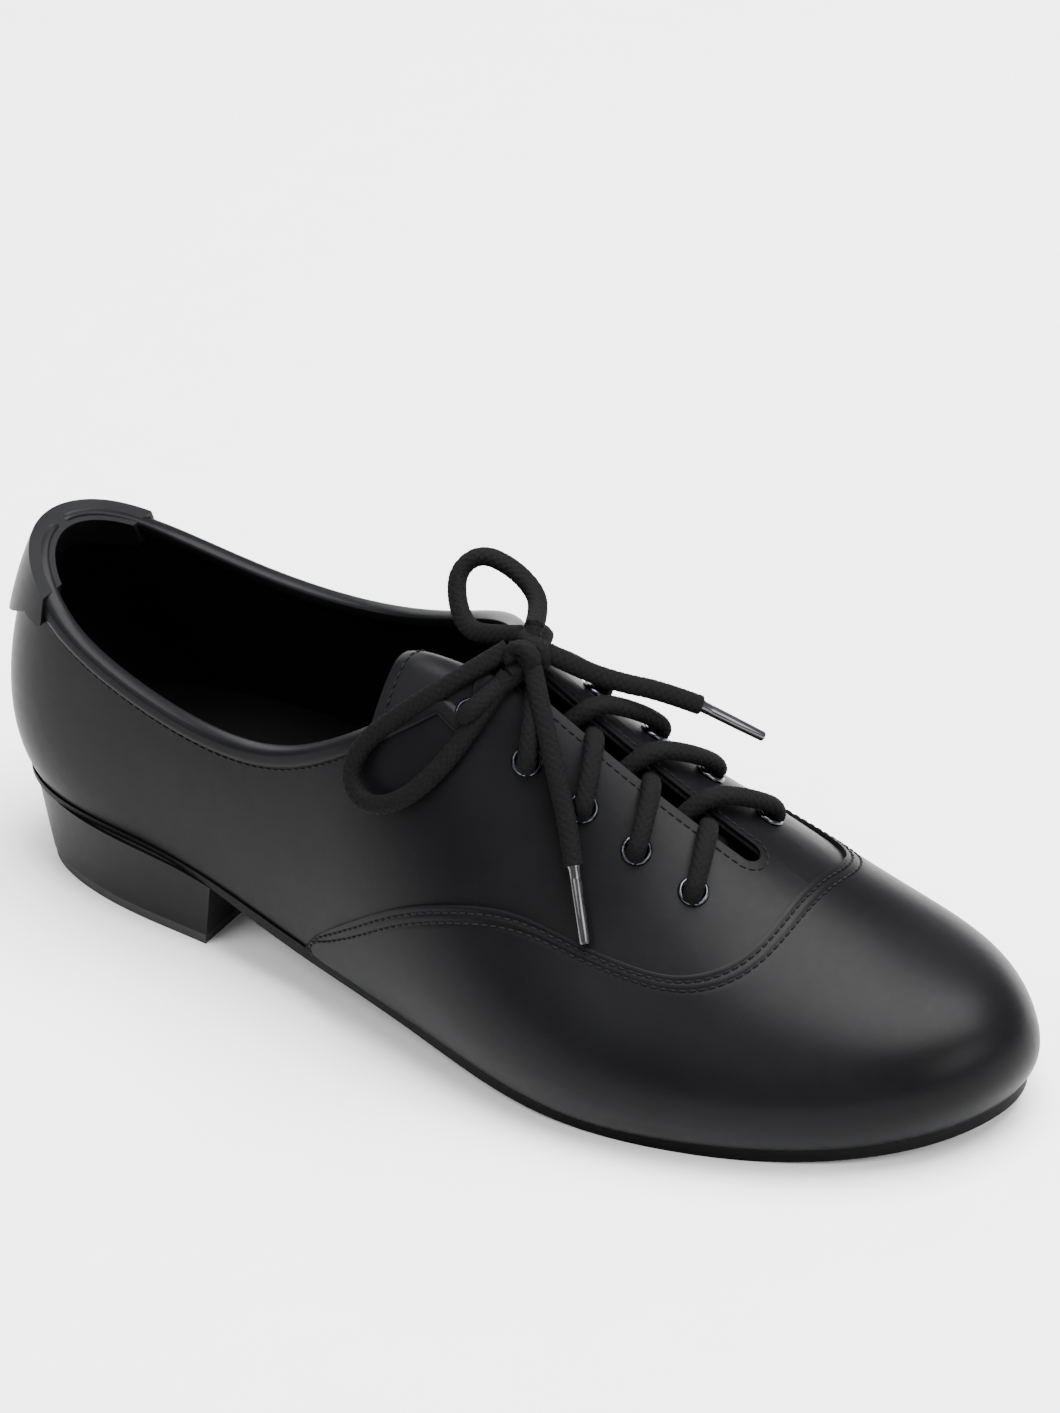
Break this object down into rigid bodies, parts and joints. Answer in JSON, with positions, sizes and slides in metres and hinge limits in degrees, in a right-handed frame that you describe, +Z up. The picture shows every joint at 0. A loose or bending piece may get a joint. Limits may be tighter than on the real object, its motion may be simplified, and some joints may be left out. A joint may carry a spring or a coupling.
{
  "type": "lace-up dress shoe",
  "caption": "Black leather lace-up dress shoe with closed lacing, a plain toe, a low covered heel and a thin sole, its lace tied in a bow.",
  "frame": {"origin": "on the ground under the middle of the shoe's length and width", "axes": "+X towards the toe, +Y towards the inner side of the foot, +Z up"},
  "size_m": [0.2884, 0.1048, 0.1109],
  "materials": {
    "black_leather": "satin",
    "interlining_cloth": "matte",
    "stiffener_board": "matte",
    "lining_leather": "matte",
    "nail_steel": "brushed",
    "insole_fibre": "matte",
    "cork": "matte",
    "sole_leather": "matte",
    "heel_core": "matte",
    "heel_rubber": "matte",
    "eyelet_metal": "gloss",
    "lace_cotton": "matte",
    "aglet_plastic": "gloss"
  },
  "bodies": {
    "root": {"vamp": "black_leather", "quarter_outer": "black_leather", "quarter_inner": "black_leather", "collar_binding": "black_leather", "heel_tab": "black_leather", "vamp_backing": "interlining_cloth", "heel_counter": "stiffener_board", "toe_puff": "stiffener_board", "facing_stays": "interlining_cloth", "interlining": "interlining_cloth", "vamp_lining": "lining_leather", "quarter_lining_outer": "lining_leather", "quarter_lining_inner": "lining_leather", "heel_nails": "nail_steel", "insole_board": "insole_fibre", "sock_lining": "lining_leather", "shank": "nail_steel", "bottom_filler": "cork", "outsole": "sole_leather", "heel_block": "heel_core", "heel_cover": "black_leather", "heel_top_piece": "heel_rubber", "tongue": "black_leather", "tongue_lining": "lining_leather", "eyelets": "eyelet_metal", "lace_lacing_outer": "lace_cotton", "lace_lacing_inner": "lace_cotton", "lace_knot": "lace_cotton", "lace_loop_near": "lace_cotton", "lace_loop_far": "lace_cotton", "lace_end_near": "lace_cotton", "lace_end_far": "lace_cotton", "aglet_near": "aglet_plastic", "aglet_far": "aglet_plastic"}
  },
  "joints": []
}
